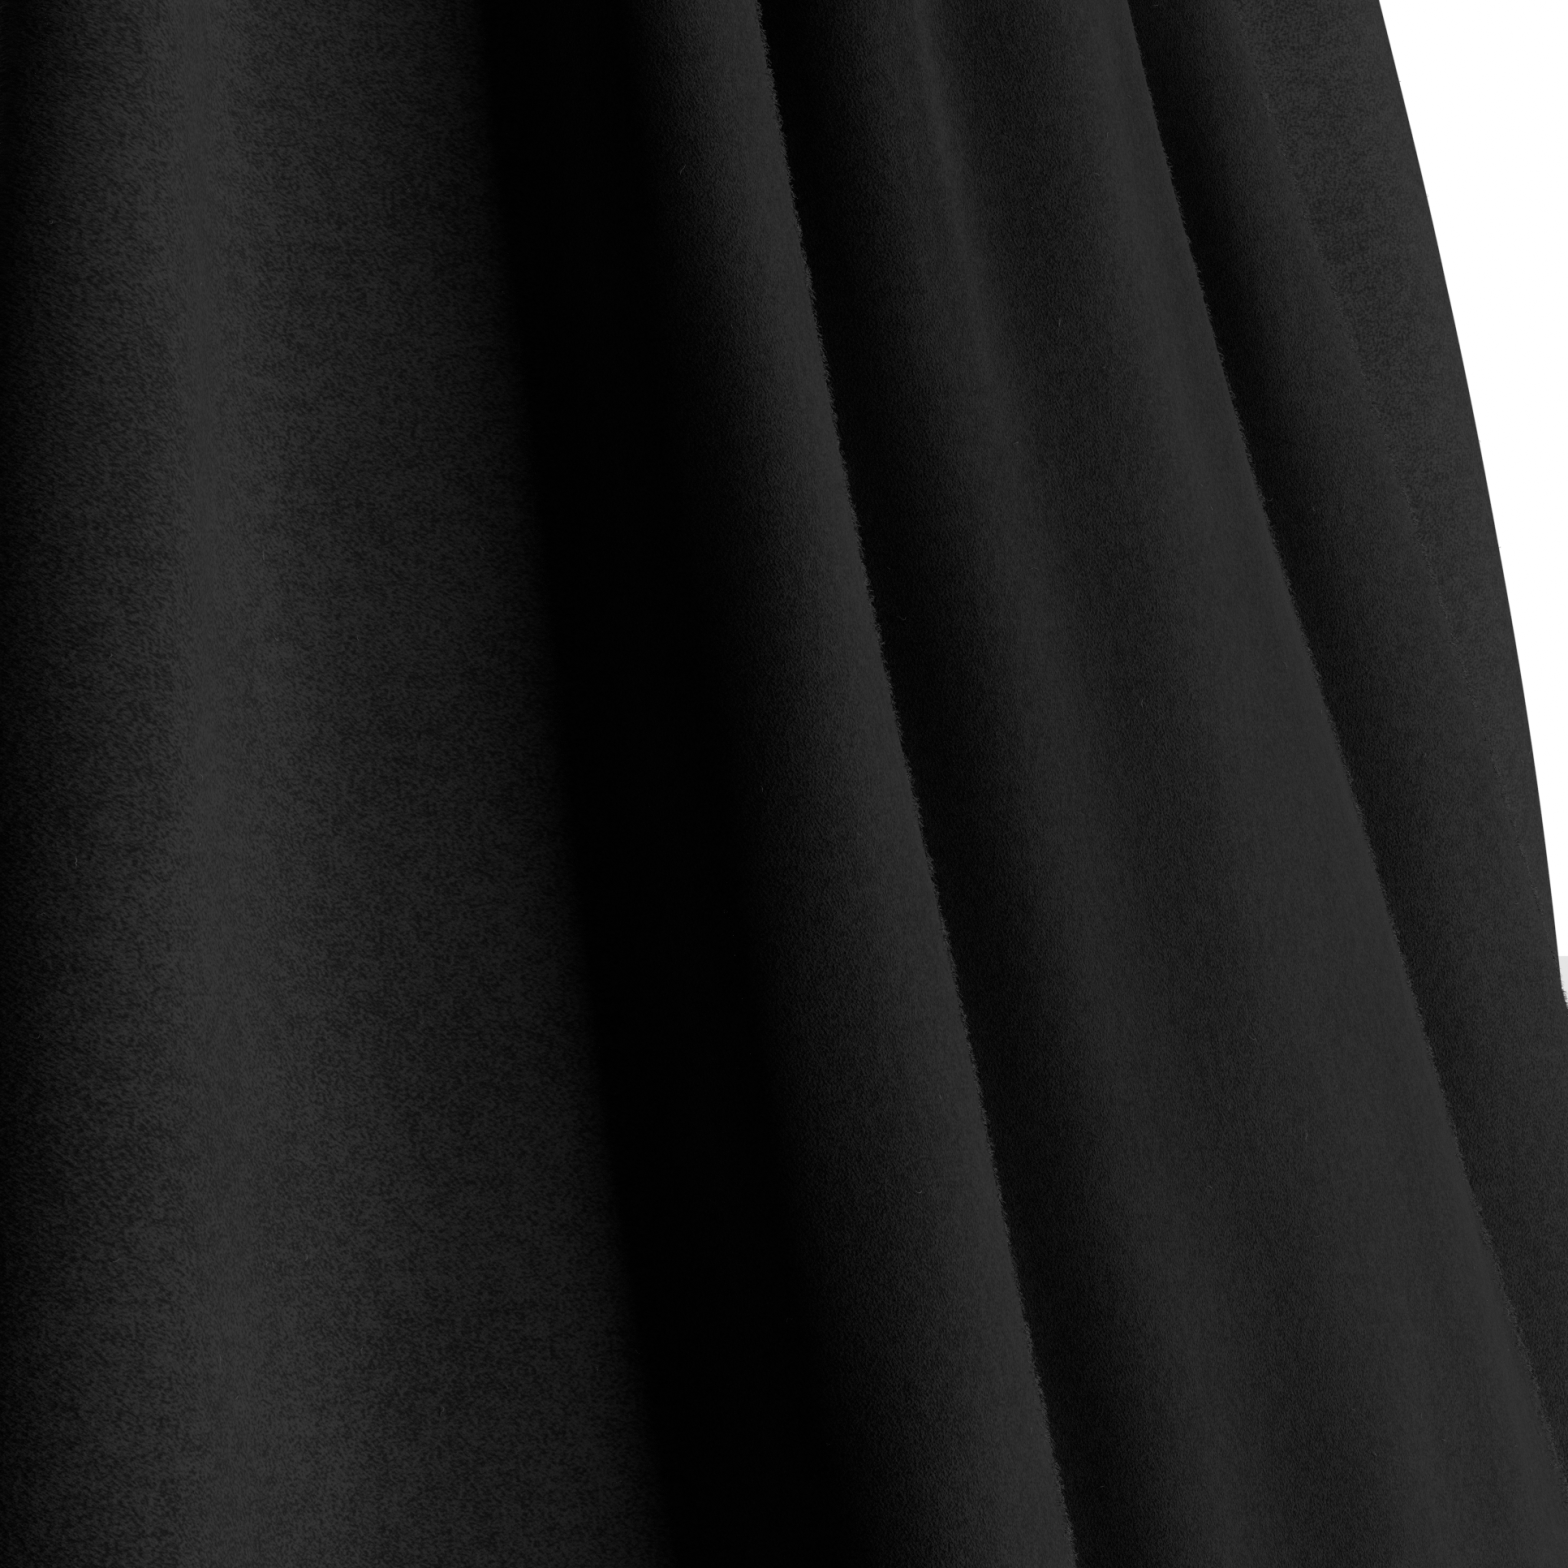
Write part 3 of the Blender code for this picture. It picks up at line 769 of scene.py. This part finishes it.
def woven_tape(name):
    """Black polyester tape in a fine twill: raised ribs on a slant, crossed by the weft."""
    start, finish = new_material(name)
    place = start.node("UVMap", {"uv_map": "cut"})
    ribs = start.node(
        "TexWave",
        {"wave_type": "BANDS", "bands_direction": "DIAGONAL"},
        {"Vector": place, "Scale": 620.0, "Distortion": 0.4, "Detail": 1.0},
        out=1,
    )
    weft = start.node(
        "TexWave", {"wave_type": "BANDS", "bands_direction": "Y"}, {"Vector": place, "Scale": 480.0}, out=1
    )
    fuzz = start.node("TexNoise", None, {"Vector": place, "Scale": 2600.0, "Detail": 2.0})
    height = ribs * 0.6 + weft * 0.3 + fuzz * 0.25
    bump = start.node("Bump", None, {"Strength": 0.7, "Distance": 0.0002, "Height": height})
    colour = mix_colour(start, ribs * 0.6 + fuzz * 0.4, grey(0.006), grey(0.020))
    return finish(
        start.node(
            "BsdfPrincipled", None, {"Base Color": colour, "Roughness": 0.72 - ribs * 0.12, "Normal": bump}
        )
    )


def nylon(name, shade):
    """Smooth black nylon or thread, its fine grain raised, and a little rougher and paler where it stands
    proud.
    """
    start, finish = new_material(name)
    place = start.node("TexCoord", None, None, out=3)
    grain = start.node("TexNoise", None, {"Vector": place, "Scale": 1800.0, "Detail": 2.0})
    bump = start.node("Bump", None, {"Strength": 0.3, "Distance": 0.00008, "Height": grain})
    colour = mix_colour(start, grain, grey(shade * 0.6), grey(shade * 1.5))
    surface = {"Base Color": colour, "Roughness": 0.38 + grain * 0.15, "Normal": bump}
    return finish(start.node("BsdfPrincipled", None, surface))


def enamel(name):
    """Black enamel on zinc: fine orange peel under a clear coat."""
    start, finish = new_material(name)
    place = start.node("TexCoord", None, None, out=3)
    peel = start.node("TexNoise", None, {"Vector": place, "Scale": 900.0, "Detail": 2.0})
    rub = start.node("TexNoise", None, {"Vector": place, "Scale": 260.0, "Detail": 4.0})
    bump = start.node("Bump", None, {"Strength": 0.15, "Distance": 0.0001, "Height": peel})
    colour = mix_colour(start, rub, grey(0.008), grey(0.016))
    return finish(
        start.node(
            "BsdfPrincipled",
            None,
            {
                "Base Color": colour,
                "Metallic": 0.3,
                "Roughness": 0.24 + rub * 0.22,
                "Coat Weight": 0.5,
                "Coat Roughness": 0.12,
                "Normal": bump,
            },
        )
    )


tape_material = woven_tape("zip tape")
coil_material = nylon("zip coil", 0.012)
thread_material = nylon("sewing thread", 0.010)
enamel_material = enamel("black enamel")
zip_rows = int(np.searchsorted(row_lengths, ZIP_LENGTH)) + 1
tape_top = [waist_line + (0, 0, TAPE_TOP), waist_line - (0, 0, BAND_DROP)]
waist_out = level_normals(waist_line)
tape_rows = np.concatenate([tape_top, skirt[:zip_rows]])
tape_normals = np.concatenate([[waist_out, waist_out], skirt_normals[:zip_rows]])


def add_zip_half(side, rows, normals, phase):
    """One tape with its coil and its two rows of stitches. The rows run away from the centre back."""
    places = np.linspace(TAPE_GAP / 2, TAPE_WIDTH, TAPE_COLUMNS)
    facing = read_across(places, rows, normals)
    middle = read_across(places, rows, rows) - facing * (WALL / 2 + TAPE_CLEARANCE + TAPE_WALL / 2)
    run = run_along(middle[:, 0])
    cut = np.stack(np.broadcast_arrays(places, -run[:, None]), axis=-1)
    tape = add_wall("zip_tape_" + side, middle, facing, TAPE_WALL, tape_material, cut)
    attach(tape, "skirt")
    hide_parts("zip_tape_" + side)

    def line_at(place, lengths, off):
        """Points along the tape at one distance from the centre back, off its inner face."""
        normal = read_across([place], rows, normals)[:, 0]
        depth = WALL / 2 + TAPE_CLEARANCE + TAPE_WALL + off
        line = read_across([place], rows, rows)[:, 0] - normal * depth
        down = run_along(line)
        return tuple(np.column_stack([np.interp(lengths, down, v) for v in x.T]) for x in (line, normal))

    turns = int((run[-1] - 2 * COIL_END) / COIL_PITCH)
    lengths = COIL_END + (np.arange(turns * COIL_STEPS) / COIL_STEPS + phase) * COIL_PITCH
    centre, normal = line_at(COIL_RADIUS + COIL_WIRE, lengths, COIL_OFFSET)
    across = line_at(COIL_RADIUS + COIL_WIRE + ACROSS_STEP, lengths, COIL_OFFSET)[0] - centre
    across /= np.linalg.norm(across, axis=1, keepdims=True)
    turn = 2 * np.pi * np.arange(len(lengths))[:, None] / COIL_STEPS
    helix = centre + COIL_RADIUS * (np.cos(turn) * normal * COIL_FLATNESS + np.sin(turn) * across)
    coil = add_tubes("zip_coil_" + side, helix[None], COIL_WIRE, 6, coil_material)

    starts = np.arange(STITCH_END, run[-1] - STITCH_END, STITCH_EVERY)
    lengths = starts[:, None] + np.linspace(0, STITCH_LENGTH, len(STITCH_ARCH))
    arch = np.tile(np.array(STITCH_ARCH), len(starts))[:, None] * THREAD
    paths = []
    for place in STITCH_PLACES:
        line, normal = line_at(place, lengths.ravel(), 0)
        paths.append((line - normal * arch).reshape(len(starts), len(STITCH_ARCH), 3))
    stitches = add_tubes("zip_stitches_" + side, np.concatenate(paths), THREAD, 6, thread_material)
    print(f"zip tape {side}: {TAPE_WIDTH:.4f} x {run[-1]:.3f} m")


add_zip_half("right", tape_rows, tape_normals, 0.0)
add_zip_half("left", tape_rows[:, ::-1], tape_normals[:, ::-1], 0.5)
for name in ("zip_slider", "zip_pull"):
    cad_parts[name].data.materials.clear()
    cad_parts[name].data.materials.append(enamel_material)


# The studio
# A pale floor under the skirt, which hangs by its waist. One large soft light stands far to the right
# of the camera. Two more, to the left and behind, light the sides that the camera doesn't see.
FLOOR_DROP = 1.05
FLOOR_SIZE = 30
AIM_HEIGHT = -0.45
CAMERA_PLACE = (0.119, -1.0, -0.52)
CAMERA_LENS = 119.25


def studio_light(name, azimuth, distance, height, size, watts):
    """A soft oblong light, that far from the skirt's middle, aimed at it."""
    data = bpy.data.lights.new(name, "AREA")
    data.shape = "RECTANGLE"
    data.size, data.size_y = size
    data.energy = watts
    light = bpy.data.objects.new(name, data)
    light.visible_camera = False
    turn = np.radians(azimuth)
    light.location = (distance * np.sin(turn), -distance * np.cos(turn), height)
    aim = np.array([0, 0, AIM_HEIGHT]) - np.array(light.location)
    light.rotation_euler = (
        np.arctan2(np.hypot(aim[0], aim[1]), -aim[2]),
        0,
        np.arctan2(aim[1], aim[0]) - np.pi / 2,
    )
    bpy.context.scene.collection.objects.link(light)


studio_light("key_light", 85.7, 5.0, -0.30, (3.0, 1.5), 232)
studio_light("far_side_light", -128, 2.6, -0.10, (1.2, 1.7), 60)
studio_light("left_side_light", -104, 3.2, -0.10, (1.0, 1.7), 70)

start, finish = new_material("pale floor")
grain = start.node("TexNoise", None, {"Scale": 3.0, "Detail": 4.0})
paint = {
    "Base Color": mix_colour(start, grain, grey(0.03), grey(0.05)),
    "Roughness": 0.9,
    "Specular IOR Level": 0.1,
    "Emission Color": grey(1.0),
    "Emission Strength": 0.78,
}
floor_material = finish(start.node("BsdfPrincipled", None, paint))
bpy.ops.mesh.primitive_plane_add(size=FLOOR_SIZE, location=(0, 0, -FLOOR_DROP))
floor = bpy.context.object
floor.name = "floor"
floor.data.materials.append(floor_material)
floor.visible_diffuse = False
floor.visible_glossy = False

# The camera sees the world white, and the world lights the skirt with a fiftieth of that
world = bpy.data.worlds.new("studio")
world.use_nodes = True
bpy.context.scene.world = world
tree = world.node_tree
tree.nodes.clear()
sky = Socket(tree)
seen = sky.node("LightPath", out=0)
strength = seen * 0.98 + 0.02
background = sky.node("Background", None, {"Color": grey(1.0), "Strength": strength})
tree.links.new(background.output, tree.nodes.new("ShaderNodeOutputWorld").inputs["Surface"])

camera = bpy.data.objects.new("camera", bpy.data.cameras.new("camera"))
camera.data.lens = CAMERA_LENS
camera.location = CAMERA_PLACE
camera.rotation_euler = (np.pi / 2, 0, 0)
bpy.context.scene.collection.objects.link(camera)
bpy.context.scene.camera = camera
bpy.context.scene.view_settings.view_transform = "Standard"
bpy.context.scene.cycles.use_denoising = False
